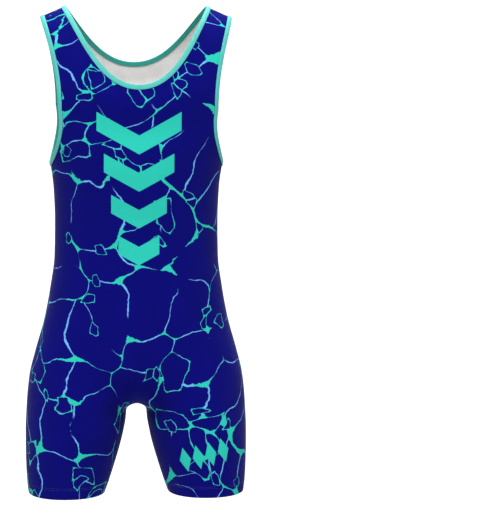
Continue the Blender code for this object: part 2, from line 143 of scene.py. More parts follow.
# %% Curves between the rows
def column(table, name, height):
    """One column of a table at any height, on a smooth curve that never overshoots its rows."""
    rows = sorted(table)
    x = np.array([row.height for row in rows])
    y = np.array([getattr(row, name) for row in rows])
    step, rise = np.diff(x), np.diff(y) / np.diff(x)
    slope = np.zeros(len(x))
    same_way = rise[:-1] * rise[1:] > 0
    weight = (step[1:] + 2 * step[:-1]) / 3 / (step[1:] + step[:-1])
    blended = weight * rise[1:] + (1 - weight) * rise[:-1]
    harmonic = rise[:-1] * rise[1:] / np.where(same_way, blended, 1.0)
    slope[1:-1] = np.where(same_way, harmonic, 0.0)
    slope[0], slope[-1] = rise[0], rise[-1]
    height = np.clip(np.asarray(height, float), x[0], x[-1])
    i = np.clip(np.searchsorted(x, height) - 1, 0, len(x) - 2)
    t = (height - x[i]) / step[i]
    return ((1 + 2 * t) * (1 - t) ** 2 * y[i] + t * (1 - t) ** 2 * step[i] * slope[i]
            + t * t * (3 - 2 * t) * y[i + 1] + t * t * (t - 1) * step[i] * slope[i + 1])


def superellipse(turn, fullness):
    """How far across and how far out a point lies on a ring of half sizes 1, at this turn."""
    across, out = np.sin(turn), np.cos(turn)
    reach = (np.abs(across) ** fullness + np.abs(out) ** fullness) ** (-1 / fullness)
    return across * reach, out * reach


def quarter_curve(across, fullness):
    """How far out a curve of half sizes 1 lies: 1 at its middle and 0 at its end."""
    return (1 - np.clip(across, 0, 1) ** fullness) ** (1 / fullness)


print("waist:", round(2 * float(column(OUTLINE, "half_width", EVEN)), 3), "m wide")

# %% [markdown]
# Above the chest the cloth rounds back to the shoulder line, like the top of a bolster. Below it, at the
# fork, one ring parts into two legs. Both are formulas of where a point stands across and down a panel.

# %% The body above the hips
def shoulder_height(x):
    """The shoulder line's height: it falls evenly outwards."""
    return SHOULDER_SLOPE * (STRAP_MIDDLE - x)


def body_point(side, turn, level):
    """A point on the front or the back of the body.

    turn goes from 0 at the centre line to a quarter turn at the side. level is the height up to
    the chest. Above it level counts along the curve that rounds back to the shoulder line, which
    it reaches at TOP.
    """
    lean = np.maximum(level - CHEST, 0) / CREST
    height = np.where(lean > 0, CHEST + CREST * np.sin(lean), level)
    across, out = superellipse(turn, column(TORSO, "fullness", height))
    depth = column(TORSO, "front" if side == FRONT else "back", height) * np.cos(lean)
    x = column(OUTLINE, "half_width", height) * across
    y = column(OUTLINE, "seam", height) + side * depth * out
    z = np.where(lean > 0, CHEST + np.sin(lean) * (shoulder_height(x) - CHEST), level)
    return np.stack([x, y, z], axis=-1)


chest = [float(body_point(side, 0.0, CHEST)[1]) for side in (FRONT, BACK)]
print("chest:", round(chest[1] - chest[0], 3), "m deep")

# %% The hips, the fork and the legs
def smooth(t):
    """An S curve: 0 up to 0 and 1 from 1 on."""
    t = np.clip(t, 0, 1)
    return t * t * (3 - 2 * t)


def lower_point(side, share, level, inset=0.0):
    """A point on the seat and hips, where they part into the legs, or on a leg.

    share goes from 0 at the centre line or inside leg to 1 at the side. Over THIGH_BLEND above
    the crotch the depth goes from the body's to the thigh's. A valley on the centre line deepens
    over the fork's height until at the crotch it parts the legs, as a rounded saddle.
    """
    rise, drop = np.maximum(level - CROTCH, 0), np.maximum(CROTCH - level, 0)
    flare = column(LEG, "inner", level) + inset * (drop > 0)
    inner = flare + ARCH_HALF * np.sqrt(1 - (1 - np.clip(drop / ARCH_DROP, 0, 1)) ** 2)
    outer = column(OUTLINE, "half_width", level) - inset
    middle = (flare + ARCH_HALF * smooth(drop / FORK_SPAN) + outer) / 2

    # Columns stand as on the body above, gather at the crotch, and spread round the leg below.
    spread = smooth(1 - drop / FORK_SPAN)
    share = share * (1 - GATHER * smooth(1 - (rise + drop) / FORK_SPAN) * (1 - share))
    fullness = column(TORSO, "fullness", level)
    as_body = superellipse(share * math.pi / 2, fullness)[0]
    as_leg = (1 + superellipse(math.pi * (share - 0.5), LEG_FULLNESS)[0]) / 2
    x = inner + (outer - inner) * (as_leg + spread * (as_body - as_leg))

    name, fork = ("front", FRONT_FORK) if side == FRONT else ("back", BACK_FORK)
    near = smooth(1 - rise / THIGH_BLEND)
    body_depth = column(TORSO, name, level) * quarter_curve(x / outer, fullness)
    thigh = (column(LEG, name, level) - inset) * quarter_curve(
        (x - middle) / (outer - middle), LEG_FULLNESS)
    depth = body_depth + near * (thigh - body_depth)
    bend = SADDLE * spread + rise ** 2 / (2 * rise + SADDLE_SPAN)
    away = (np.hypot(x, bend) - np.hypot(inner, bend)) / (
        np.hypot(middle, bend) - np.hypot(inner, bend))
    depth = depth * quarter_curve(np.clip(1 - rise / fork, 0, 1) * (1 - away), LEG_FULLNESS)
    y = column(OUTLINE, "seam", level) + side * depth
    return np.stack([x, y, np.broadcast_to(level, x.shape)], axis=-1)


def panel_point(side, share, turn, level):
    """A point of the front or back panel, on the body or below it."""
    lower = lower_point(side, share, np.minimum(level, CROTCH + THIGH_BLEND))
    return np.where((level < CROTCH + THIGH_BLEND)[..., None], lower,
                    body_point(side, turn, level))


print("hem:", round(float(np.ptp(lower_point(FRONT, np.array([0.0, 1.0]), HEM)[:, 0])), 3), "m wide")

# %% [markdown]
# ## The edges
#
# The neck and the armholes are Bezier curves drawn from the front, laid onto the form. The stations
# along them become the mesh's own edges, so that the tape has something exact to fold over.

# %% Neck edge and armhole edge on the form
def turn_and_level(x, z):
    """The turn and level at which body_point has this x and z."""
    lean = np.arcsin(np.clip((z - CHEST) / (shoulder_height(x) - CHEST), 0, 1))
    height = np.where(z > CHEST, CHEST + CREST * np.sin(lean), z)
    fullness = column(TORSO, "fullness", height)
    across = np.clip(x / column(OUTLINE, "half_width", height), 0, 1)
    turn = np.arctan2(across, (1 - across ** fullness) ** (1 / fullness))
    return turn, np.where(z > CHEST, CHEST + CREST * lean, z)


def tangents(side, turn, level, step=1e-4):
    """How body_point moves for a unit of turn and for a unit of level."""
    by_turn = body_point(side, turn + step, level) - body_point(side, turn - step, level)
    by_level = body_point(side, turn, level + step) - body_point(side, turn, level - step)
    return by_turn / (2 * step), by_level / (2 * step)


def outward(side, turn, level):
    """The direction straight out of the body: across both tangents."""
    normal = np.cross(*tangents(side, turn, level)) * -side
    return normal / np.linalg.norm(normal, axis=-1, keepdims=True)


def nearest(side, points, turn, level):
    """The turn and level of the body's points nearest to these, starting from a close guess."""
    for _ in range(4):
        by_turn, by_level = tangents(side, turn, level)
        miss = points - body_point(side, turn, level)
        a, b, c = ((p * q).sum(-1) for p, q in
                   ((by_turn, by_turn), (by_turn, by_level), (by_level, by_level)))
        d, e = (miss * by_turn).sum(-1), (miss * by_level).sum(-1)
        turn = turn + (d * c - e * b) / (a * c - b * b)
        level = level + (e * a - d * b) / (a * c - b * b)
    return turn, level


def bezier(points, t):
    """Points of a cubic curve: two ends and two handles, weighted by powers of t and 1 - t."""
    a, b, c, d = (np.array(p)[:, None] for p in points)
    return a * (1 - t) ** 3 + 3 * b * t * (1 - t) ** 2 + 3 * c * t ** 2 * (1 - t) + d * t ** 3


def fine_steps(count=400):
    """Steps from 0 to 1 that are finest at 0, where an edge comes over the shoulder."""
    return np.linspace(0, 1, count) ** 2


# The curves' handles, as steps from their ends.
NECK_HANDLES = {FRONT: (0.060, 0.031, 1.64), BACK: (0.056, 0.033, 1.36)}
ARM_LEAN, ARM_DROP, ARM_STRAIGHT = 0.0155, 0.050, 0.060


def neck_edge(side):
    """Turns and levels from the shoulder down to the lowest point of the neck, closely spaced."""
    low = FRONT_NECK if side == FRONT else BACK_NECK
    handle, lean, slope = NECK_HANDLES[side]
    top = shoulder_height(STRAP_INNER)
    end = (STRAP_INNER - lean, top - slope * lean)
    x, z = bezier(((STRAP_INNER, top), end, (handle, low), (0.0, low)), fine_steps())
    return turn_and_level(x, z)


def arm_edge(side):
    """Turns and levels from the shoulder down the armhole to the underarm, closely spaced."""
    reach = ARMHOLE_FRONT if side == FRONT else ARMHOLE_BACK
    top = shoulder_height(STRAP_OUTER)
    end, straight = (STRAP_OUTER - ARM_LEAN, top - ARM_DROP), (reach, CHEST + ARM_STRAIGHT)
    x, z = bezier(((STRAP_OUTER, top), end, straight, (reach, CHEST)), fine_steps())
    turn, level = turn_and_level(x, z)
    angle = np.linspace(0, math.pi / 2, len(turn))[1:]
    lower_turn = math.pi / 2 - (math.pi / 2 - turn[-1]) * np.cos(angle)
    lower_level = CHEST - (CHEST - UNDERARM) * np.sin(angle)
    return np.concatenate([turn, lower_turn]), np.concatenate([level, lower_level])


print("neckline:", FRONT_NECK, "m in front and", BACK_NECK, "m behind")

# %% Stations along an edge
NECK_ROWS, ARM_ROWS, RIB_ROWS, BODY_ROWS, FORK_ROWS, THIGH_ROWS = 10, 17, 8, 11, 8, 4
NECK_COLUMNS, ARM_COLUMN, COLUMNS = 5, 9, 15
NARROW, NARROW_SHARE = 0.0022, 0.016    # the squares beside a seam, in metres and as a share
TAPE_REACH = 0.0060           # the first row of squares in from a taped edge
FINER = 4                     # each square of the first grid is parted into this many by this many
FORK_CROWD = 2.5              # the power by which rows crowd towards the crotch
RELAXINGS = 1500

# An edge's curve, its rows and columns of squares, and the share of its length above its corner.
Edge = namedtuple("Edge", "curve rows columns corner")
NECK = Edge(neck_edge, NECK_ROWS, NECK_COLUMNS, 0.72)
ARM = Edge(arm_edge, ARM_ROWS, COLUMNS - ARM_COLUMN, 0.78)


def lengths_along(side, turn, level):
    """How far each station lies along an edge from its first one."""
    steps = np.linalg.norm(np.diff(body_point(side, turn, level), axis=0), axis=1)
    return np.concatenate([[0], np.cumsum(steps)])


def binding_reach(side, edge, turn, level, width):
    """For stations along an edge: the turn and level that lie this wide in from it.

    At its last station the neck edge meets the centre line, and the arm edge the side seam. The
    panel lies straight below both.
    """
    points = body_point(side, turn, level)
    along = np.gradient(points, lengths_along(side, turn, level), axis=0)
    along[0] = 0, side, 0
    along[-1] = (-1, 0, 0) if edge is NECK else (0, -side, 0)
    inward = np.cross(outward(side, turn, level), along)
    inward *= (width / np.linalg.norm(inward, axis=1))[:, None]
    return np.stack(nearest(side, points - inward * np.sign(inward[-1, 2]), turn, level))


def edge_stations(side, edge, times=1):
    """Even stations down an edge as far as its corner, then even ones along it to its end."""
    turn, level = edge.curve(side)
    length = lengths_along(side, turn, level)
    corner, end = length[-1] * edge.corner, length[-1]
    at = np.concatenate([[0], np.linspace(NARROW, corner, edge.rows),
                         np.linspace(corner, end - NARROW, edge.columns)[1:], [end]])
    at = np.interp(np.arange((len(at) - 1) * times + 1) / times, np.arange(len(at)), at)
    return np.stack([np.interp(at, length, turn), np.interp(at, length, level)])


def column_shares():
    """How far across each column stands. The ones beside the seams are narrow."""
    between = np.linspace(NARROW_SHARE, 1 - NARROW_SHARE, COLUMNS - 1)
    return np.concatenate([[0], between, [1]])


print("front neck edge:", round(float(lengths_along(FRONT, *neck_edge(FRONT))[-1]), 3), "m on each side")

# %% [markdown]
# ## A panel as one grid
#
# A panel is a grid of rows and columns with the neck's and the arm's corner blocks left out. The first
# grid is coarse and is relaxed: each point moves to the middle of its neighbours. Then every square is
# parted, and the form's formula puts the new points exactly on the surface.

# %% The first grid
def beside_tapes(where, neck_end, arm_end):
    """Sets the points one square in from both taped edges. Those at a corner stand on the diagonal."""
    inner, outer = NECK_COLUMNS + 1, ARM_COLUMN - 1
    where[:, 1:NECK_ROWS, inner] = neck_end[:, 1:NECK_ROWS]
    where[:, NECK_ROWS + 1, :NECK_COLUMNS] = neck_end[:, NECK_ROWS + 1:][:, ::-1]
    where[:, NECK_ROWS + 1, inner] = neck_end[:, NECK_ROWS]
    where[:, NECK_ROWS, inner] = neck_end[:, NECK_ROWS - 1:NECK_ROWS + 1].mean(axis=1)
    where[:, NECK_ROWS + 1, NECK_COLUMNS] = neck_end[:, NECK_ROWS:NECK_ROWS + 2].mean(axis=1)
    where[:, 1:ARM_ROWS, outer] = arm_end[:, 1:ARM_ROWS]
    where[:, ARM_ROWS + 1, ARM_COLUMN + 1:] = arm_end[:, ARM_ROWS + 1:]
    where[:, ARM_ROWS + 1, outer] = arm_end[:, ARM_ROWS]
    where[:, ARM_ROWS, outer] = arm_end[:, ARM_ROWS - 1:ARM_ROWS + 1].mean(axis=1)
    where[:, ARM_ROWS + 1, ARM_COLUMN] = arm_end[:, ARM_ROWS:ARM_ROWS + 2].mean(axis=1)
    where[:, 0, inner], where[:, 0, outer] = neck_end[:, 0], arm_end[:, 0]


def relax(where, free):
    """Moves each free point, over and over, to the middle of its four neighbours."""
    for _ in range(RELAXINGS):
        mean = (where[:, :-2, 1:-1] + where[:, 2:, 1:-1]
                + where[:, 1:-1, :-2] + where[:, 1:-1, 2:]) / 4
        where[:, 1:-1, 1:-1] = np.where(free, mean, where[:, 1:-1, 1:-1])


def upper_rows(side):
    """Turn and level of the panel's points from the shoulder down to EVEN, and which are in use.

    The strap's columns start at the shoulder, those under the neck at row NECK_ROWS and those
    under the arm at row ARM_ROWS. Edges and bindings fix their points, and the rest are spread
    evenly between.
    """
    count = ARM_ROWS + RIB_ROWS
    where = np.zeros((2, count + 1, COLUMNS + 1))
    used = np.ones((count + 1, COLUMNS + 1), bool)
    used[:NECK_ROWS, :NECK_COLUMNS] = False
    used[:ARM_ROWS, ARM_COLUMN + 1:] = False
    neck, arm = edge_stations(side, NECK), edge_stations(side, ARM)

    # The edges, and a first guess of what lies between.
    where[0] = column_shares() * math.pi / 2
    where[1] = np.linspace(TOP, EVEN, count + 1)[:, None]
    where[:, :NECK_ROWS, NECK_COLUMNS] = neck[:, :NECK_ROWS]
    where[:, NECK_ROWS, :NECK_COLUMNS + 1] = neck[:, NECK_ROWS:][:, ::-1]
    where[:, :ARM_ROWS, ARM_COLUMN] = arm[:, :ARM_ROWS]
    where[:, ARM_ROWS, ARM_COLUMN:] = arm[:, ARM_ROWS:]
    where[:, 0, NECK_COLUMNS:ARM_COLUMN + 1] = np.linspace(
        neck[:, 0], arm[:, 0], ARM_COLUMN - NECK_COLUMNS + 1, axis=1)
    where[1, -1] = EVEN

    # The squares under the tapes and beside the seams are fixed too.
    neck_end = binding_reach(side, NECK, *neck, TAPE_REACH)
    arm_end = binding_reach(side, ARM, *arm, TAPE_REACH)
    beside_tapes(where, neck_end, arm_end)
    fixed = ~used
    fixed[:NECK_ROWS + 2, :NECK_COLUMNS + 2] = True
    fixed[:ARM_ROWS + 2, ARM_COLUMN - 1:] = True
    fixed[[0, -1]] = True
    fixed[NECK_ROWS + 2:, 0] = fixed[ARM_ROWS + 2:, -1] = True
    where[1, NECK_ROWS + 1:, 0] = np.linspace(neck_end[1, -1], EVEN, count - NECK_ROWS)
    where[1, ARM_ROWS + 1:, -1] = np.linspace(arm_end[1, -1], EVEN, RIB_ROWS)
    for row, seam, beside in ((NECK_ROWS, 0, 1), (ARM_ROWS, -1, -2)):
        where[0, row + 2:, beside] = where[0, -1, beside]
        where[1, row + 2:, beside] = where[1, row + 2:, seam]
        fixed[row + 2:, beside] = True

    relax(where, ~fixed[1:-1, 1:-1])
    return where, used

# %% The fine grid
def parted(values, times):
    """The grid with each square parted, by straight lines between its corners."""
    def along(rows):
        at = np.linspace(0, len(rows) - 1, (len(rows) - 1) * times + 1)
        i = np.minimum(at.astype(int), len(rows) - 2)
        t = (at - i).reshape(-1, *[1] * (rows.ndim - 1))
        return rows[i] * (1 - t) + rows[i + 1] * t
    return along(along(values).T).T


def parted_line(values, times):
    """A line of values with each step parted."""
    at = np.linspace(0, len(values) - 1, (len(values) - 1) * times + 1)
    return np.interp(at, np.arange(len(values)), values)


def ring_lengths(side, share, turn, level, steps=24):
    """How far each point lies from its ring's start, measured along the cloth at its level."""
    shares = [share * i / steps for i in range(steps + 1)]
    turns = [turn * i / steps for i in range(steps + 1)]
    ring = np.stack([panel_point(side, a, b, level) for a, b in zip(shares, turns)])
    return np.linalg.norm(np.diff(ring, axis=0), axis=-1).sum(axis=0)


def fine_panel(side):
    """Share, turn, level and use of half a panel's fine grid, down to where the hem's fold begins."""
    (turn, level), used = upper_rows(side)
    squares = used[:-1, :-1] & used[1:, :-1] & used[:-1, 1:] & used[1:, 1:]
    down = np.concatenate([
        np.linspace(EVEN, CROTCH + FORK_SPAN, BODY_ROWS + 1),
        CROTCH + (np.arange(FORK_ROWS - 1, 0, -1) / FORK_ROWS) ** FORK_CROWD * FORK_SPAN,
        CROTCH - (np.arange(0, FORK_ROWS + 1) / FORK_ROWS) ** FORK_CROWD * FORK_SPAN,
        np.linspace(CROTCH - FORK_SPAN, HEM + HEM_FOLD / 2, THIGH_ROWS + 1)[1:],
    ])
    share = parted_line(column_shares(), FINER)
    fine = [parted(v, FINER) for v in (turn, level)]
    for edge, col in ((NECK, NECK_COLUMNS * FINER), (ARM, ARM_COLUMN * FINER)):
        row = edge.rows * FINER
        for values, line in zip(fine, edge_stations(side, edge, FINER)):
            values[:row, col] = line[:row]
            if edge is NECK:
                values[row, :col + 1] = line[row:][::-1]
            else:
                values[row, col:] = line[row:]
    lower = parted_line(down, FINER)[1:]
    turn = np.concatenate([fine[0], np.tile(share * math.pi / 2, (len(lower), 1))])
    level = np.concatenate([fine[1], np.tile(lower[:, None], len(share))])
    squares = np.repeat(np.repeat(squares, FINER, axis=0), FINER, axis=1)
    squares = np.concatenate([squares, np.ones((len(lower), squares.shape[1]), bool)])
    return np.broadcast_to(share, turn.shape), turn, level, squares

# %% [markdown]
# The hem is the cloth's own end, turned up inside the leg. So the grid's rows simply go on, half a circle
# round the fold and up the inside, and the hem is a real second layer at no cost of another piece.

# %% The hem's fold
FOLD_ROWS, TURNUP_ROWS = 6, 8
print("hem:", FOLD_ROWS, "rows round its fold and", TURNUP_ROWS, "up inside")


def hem_rows(side, share):
    """Points round the hem's fold, half a circle, and up the inside of the leg."""
    angle = np.linspace(0, math.pi, FOLD_ROWS + 1)[1:]
    radius = HEM_FOLD / 2
    inset = np.concatenate([radius * (1 - np.cos(angle)), np.full(TURNUP_ROWS, HEM_FOLD)])
    level = np.concatenate([HEM + radius - radius * np.sin(angle),
                            np.linspace(HEM + radius, HEM + HEM_DEPTH, TURNUP_ROWS + 1)[1:]])
    return np.stack([lower_point(side, share, np.full(share.shape, z), inset=i)
                     for z, i in zip(level, inset)]), level

# %% [markdown]
# ## Soft creases
#
# Filled out, the knit is nearly smooth. What is left are shallow troughs and ridges where the fork pulls,
# under the arms and across the waist. A simulation would find few of them on so tight a form, so each is
# listed one by one: a soft wave along a short line. The same waves, drawn broad, are the soft relief of the
# chest, the shoulder blades and the seat. A table gives place, tilt, length, width and height.

# %% The creases
BOW = 0.10                    # how far a crease's line bends, as a share of its length
Crease = namedtuple("Crease", "side x z tilt length width height")
CREASES = (
    Crease(FRONT, 0.056, -0.128, 12, 0.150, 0.0260, 0.0030),
    Crease(FRONT, -0.058, -0.126, -11, 0.150, 0.0260, 0.0031),
    Crease(FRONT, 0.050, -0.192, 8, 0.170, 0.0270, -0.0022),
    Crease(FRONT, -0.054, -0.190, -9, 0.170, 0.0270, -0.0023),
    Crease(FRONT, 0.052, -0.640, 58, 0.080, 0.0080, -0.0011),
    Crease(FRONT, -0.049, -0.634, 120, 0.092, 0.0090, -0.0012),
    Crease(FRONT, 0.078, -0.628, 40, 0.070, 0.0080, 0.0007),
    Crease(FRONT, -0.082, -0.622, 138, 0.064, 0.0085, 0.0008),
    Crease(FRONT, 0.022, -0.618, 84, 0.050, 0.0070, -0.0006),
    Crease(FRONT, 0.040, -0.372, 4, 0.120, 0.0100, -0.0007),
    Crease(FRONT, -0.052, -0.398, -6, 0.100, 0.0110, -0.0006),
    Crease(FRONT, 0.108, -0.292, 28, 0.070, 0.0090, -0.0008),
    Crease(FRONT, -0.106, -0.300, 148, 0.076, 0.0090, -0.0008),
    Crease(BACK, 0.060, -0.120, 10, 0.150, 0.0300, 0.0022),
    Crease(BACK, -0.058, -0.122, -12, 0.150, 0.0300, 0.0021),
    Crease(BACK, 0.030, -0.205, 4, 0.190, 0.0300, -0.0016),
    Crease(BACK, 0.085, -0.545, 74, 0.170, 0.0420, 0.0030),
    Crease(BACK, -0.087, -0.548, 107, 0.170, 0.0420, 0.0030),
    Crease(BACK, 0.000, -0.575, 90, 0.180, 0.0240, -0.0035),
    Crease(BACK, 0.046, -0.655, 62, 0.075, 0.0085, -0.0012),
    Crease(BACK, -0.050, -0.650, 122, 0.080, 0.0085, -0.0011),
    Crease(BACK, 0.070, -0.385, 9, 0.100, 0.0105, -0.0009),
    Crease(BACK, -0.060, -0.362, -7, 0.110, 0.0100, -0.0008),
    Crease(BACK, 0.020, -0.410, 2, 0.120, 0.0110, -0.0008),
    Crease(BACK, 0.110, -0.290, 35, 0.060, 0.0090, -0.0007),
    Crease(BACK, -0.108, -0.286, 146, 0.064, 0.0090, -0.0007),
)


def crease_height(side, points):
    """How far the creases lift the cloth: over each line a bell across it, fading to both its ends."""
    lift = np.zeros(points.shape[:-1])
    for crease in (row for row in CREASES if row.side == side):
        tilt = math.radians(crease.tilt)
        x, z = points[..., 0] - crease.x, points[..., 2] - crease.z
        along = x * math.cos(tilt) + z * math.sin(tilt)
        across = -x * math.sin(tilt) + z * math.cos(tilt)
        across = across + BOW * along ** 2 / crease.length
        fade = np.exp(-(2 * along / crease.length) ** 2)
        lift += crease.height * fade * np.exp(-(across / crease.width) ** 2)
    return lift


print(len(CREASES), "creases")

# %% [markdown]
# ## The two panels
#
# Each panel is one half and its mirror image, in one mesh. Solidify gives it its wall inwards, with the
# print outside and the unprinted knit inside. A groove half a millimetre deep runs along every seam.

# %% Mesh from arrays
def vertex_normals(points, quads):
    """The mean direction that the faces round each point look."""
    a, b, c, d = (points[quads[:, i]] for i in range(4))
    face = np.cross(c - a, d - b)
    normals = np.zeros_like(points)
    for i in range(4):
        np.add.at(normals, quads[:, i], face)
    return normals / np.maximum(np.linalg.norm(normals, axis=1, keepdims=True), 1e-12)


def mesh_object(name, points, faces, uv=None):
    """A smooth shaded object on the root. uv, in metres, is given for points or for face corners."""
    mesh = bpy.data.meshes.new(name)
    mesh.from_pydata(points.tolist(), [], faces.tolist())
    mesh.shade_smooth()
    if uv is not None:
        layer = mesh.uv_layers.new(name="cloth")
        corners = np.empty(len(mesh.loops), np.int32)
        mesh.loops.foreach_get("vertex_index", corners)
        uv = uv[corners] if len(uv) == len(points) else uv
        layer.data.foreach_set("uv", uv.astype(np.float32).ravel())
    mesh.update()
    obj = bpy.data.objects.new(name, mesh)
    bpy.context.scene.collection.objects.link(obj)
    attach(obj, "root")
    return obj


def grid_quads(index, squares):
    """The corner indices of a grid's squares in use."""
    quads = np.stack([index[:-1, :-1], index[1:, :-1], index[1:, 1:], index[:-1, 1:]], axis=-1)
    return quads[squares]


def merged(points, quads, *others):
    """Points that coincide made one, and those that no face uses left out."""
    kept, quads = np.unique(quads, return_inverse=True)
    points, others = points[kept], [v[kept] for v in others]
    _, first, back = np.unique(np.round(points * 1e5), axis=0, return_index=True, return_inverse=True)
    quads = back.reshape(-1)[quads.reshape(-1)].reshape(-1, 4)
    return points[first], quads, *[v[first] for v in others]

# %% The cloth of one panel
BACK_PRINT = 3.0              # metres along the printed cloth to where the back is cut


def panel_arrays(side):
    """Points, faces, UV and distance to the nearest seam of a whole panel."""
    share, turn, level, squares = fine_panel(side)
    grid = panel_point(side, share, turn, level)
    across = ring_lengths(side, share, turn, level)
    hem, hem_level = hem_rows(side, share[0])
    grid = np.concatenate([grid, hem])
    across = np.concatenate([across, np.tile(across[-1], (len(hem), 1))])
    level = np.concatenate([level, np.tile(hem_level[:, None], level.shape[1])])
    squares = np.concatenate([squares, np.ones((len(hem), squares.shape[1]), bool)])

    # The seams are the side, the shoulder and, below the crotch, the inside leg.
    to_seam = np.where(level < UNDERARM, across[:, -1:] - across, 1.0)
    to_seam = np.where(level < CROTCH, np.minimum(to_seam, across), to_seam)
    to_seam = np.minimum(to_seam, TOP - level)
    # The print's coordinate follows a leg's middle past the crotch, where the cloth turns under.
    middle = across.shape[1] // 2
    drift = across[:, middle] - grid[:, middle, 0]
    past = level[:, middle] < CROTCH + ARCH_DROP
    across = across - np.where(past, drift - drift[~past][-1], 0.0)[:, None]
    grid[..., 1] += side * SEAM_GAP / 2
    start = BACK_PRINT if side == BACK else 0.0
    uv = np.stack([start + across, level], axis=-1)
    other = np.stack([start - across, level], axis=-1)

    count = level.size
    index = np.arange(count).reshape(level.shape)
    quads = grid_quads(index, squares)
    quads = quads if side == FRONT else quads[:, ::-1]
    points = np.concatenate([grid.reshape(-1, 3), grid.reshape(-1, 3) * (-1, 1, 1)])
    uv = np.concatenate([uv.reshape(-1, 2), other.reshape(-1, 2)])
    quads = np.concatenate([quads, quads[:, ::-1] + count])
    return merged(points, quads, uv, np.tile(to_seam.reshape(-1), 2))

# %% The two panels
GROOVE_DEPTH, GROOVE_HALF = 0.0005, 0.0016
SEAM_FADE, TAPE_FADE = 0.020, 0.030       # creases die away this close to a seam and to a tape
EVERY = 4                     # edge points are measured from every fourth one
faces_of = {}                 # each panel's face, on which the sewing is laid


def edge_distance(side, points):
    """How far each point lies from the nearest taped edge."""
    edges = np.concatenate([body_point(side, *edge.curve(side))[::EVERY] for edge in (NECK, ARM)])
    folded = points.copy()
    folded[:, 0] = np.abs(folded[:, 0])
    return np.min([np.linalg.norm(folded - edge, axis=1) for edge in edges], axis=0)


def make_panel(name, node, side):
    """A panel's cloth with its creases and its seams' grooves, which replaces the frame's node."""
    points, quads, uv, to_seam = panel_arrays(side)
    lift = crease_height(side, points) * smooth(to_seam / SEAM_FADE)
    lift *= smooth((edge_distance(side, points) - BINDING_WIDTH) / TAPE_FADE)
    lift -= GROOVE_DEPTH * np.exp(-(to_seam / GROOVE_HALF) ** 2)
    points = points + vertex_normals(points, quads) * lift[:, None]
    faces_of[side] = BVHTree.FromPolygons(points.tolist(), quads.tolist())
    obj = mesh_object(name, points, quads, uv)
    wall = obj.modifiers.new("wall", "SOLIDIFY")
    wall.thickness, wall.offset = CLOTH, -1.0
    wall.use_even_offset = wall.use_quality_normals = True
    wall.material_offset, wall.material_offset_rim = 1, 0
    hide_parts(node)
    print(name, len(points), "points", len(quads), "faces")
    return obj


front_cloth = make_panel("front_cloth", "front", FRONT)
back_cloth = make_panel("back_cloth", "back", BACK)

# %% [markdown]
# ## The folded tapes
#
# The neck and the armholes are finished with a knitted tape folded in two over the cut edge. Its section
# is a rounded U with a wall. Carried along the edge it makes one closed ring.

# %% The tape's section
TAPE = 0.0009                 # the tape's wall
TAPE_OVER = 0.0002            # between the panel and the tape's two halves
TAPE_DOME = 0.00035           # how much the outer half swells between its stitching and the fold
LEG_STEPS, FOLD_STEPS, CAP_STEPS = 7, 8, 3


def tape_section():
    """The closed outline of the U: how far in from the edge, and how far out from the panel's face.

    Its middle line runs in over the outside, round the fold as half a circle, and back inside. Half a
    wall is added on both sides of it, and each end is closed with half a circle.
    """
    out, back = TAPE_OVER + TAPE / 2, -(CLOTH + TAPE_OVER + TAPE / 2)
    radius, centre = (out - back) / 2, (out + back) / 2
    legs = np.linspace(BINDING_WIDTH, 0, LEG_STEPS)
    angle = np.linspace(0, math.pi, FOLD_STEPS + 2)[1:-1]
    inward = np.concatenate([legs, -radius * np.sin(angle), legs[::-1]])
    outer = out + TAPE_DOME * np.sin(math.pi * legs / BINDING_WIDTH)
    height = np.concatenate([outer, centre + radius * np.cos(angle), np.full(LEG_STEPS, back)])
    line = np.stack([inward, height], axis=1)
    along = np.gradient(line, axis=0)
    along /= np.linalg.norm(along, axis=1, keepdims=True)
    normal = np.stack([along[:, 1], -along[:, 0]], axis=1)
    turn = np.linspace(0, math.pi, CAP_STEPS + 2)[1:-1, None]
    caps = [line[i] + TAPE / 2 * (np.cos(turn) * normal[i] * way + np.sin(turn) * along[i] * way)
            for i, way in ((-1, 1), (0, -1))]
    wall = normal * TAPE / 2
    return np.concatenate([line + wall, caps[0], (line - wall)[::-1], caps[1]])


print("tape section:", len(tape_section()), "points")

# %% The run of an edge
TAPE_FINER = 6                # stations of a tape for each of the first grid's
TAPE_SAG = 0.00003            # how far the panel bulges between the edge and the tape's inner end


def edge_run(side, edge):
    """Points, both ends' normals and inward directions along an edge, from the shoulder to its end."""
    turn, level = edge_stations(side, edge, TAPE_FINER)
    end_turn, end_level = binding_reach(side, edge, turn, level, BINDING_WIDTH)
    points, ends = body_point(side, turn, level), body_point(side, end_turn, end_level)
    inward = ends - points
    inward /= np.linalg.norm(inward, axis=1, keepdims=True)
    normal = outward(side, turn, level)
    end_normal = outward(side, end_turn, end_level)
    return np.stack([points, normal, end_normal, inward], axis=1)


def closed_ring(edge):
    """The front's run and the back's as one ring of stations."""
    front, back = edge_run(FRONT, edge)[::-1], edge_run(BACK, edge)
    seam = (front[-1:] + back[:1]) / 2
    half = np.concatenate([front[:-1], seam, back[1:]])
    if edge is NECK:
        half[[0, -1], :, 0] = 0.0
        return np.concatenate([half, (half * (-1, 1, 1))[::-1][1:-1]])
    return np.concatenate([(half[:1] + half[-1:]) / 2, half[1:-1]])


def tape_point(ring, inward, height):
    """Points this far in from the edge and this far out from the panel's face, all round a ring."""
    edge, normal, end_normal, direction = (ring[:, i][:, None] for i in range(4))
    inward, height = (np.asarray(v)[None, :, None] for v in (inward, height))
    share = np.clip(inward / BINDING_WIDTH, 0, 1)
    mixed = normal * (1 - share) + end_normal * share
    mixed = mixed / np.linalg.norm(mixed, axis=-1, keepdims=True)
    sag = 4 * share * (1 - share) * TAPE_SAG
    return edge + direction * inward + mixed * (height + sag)


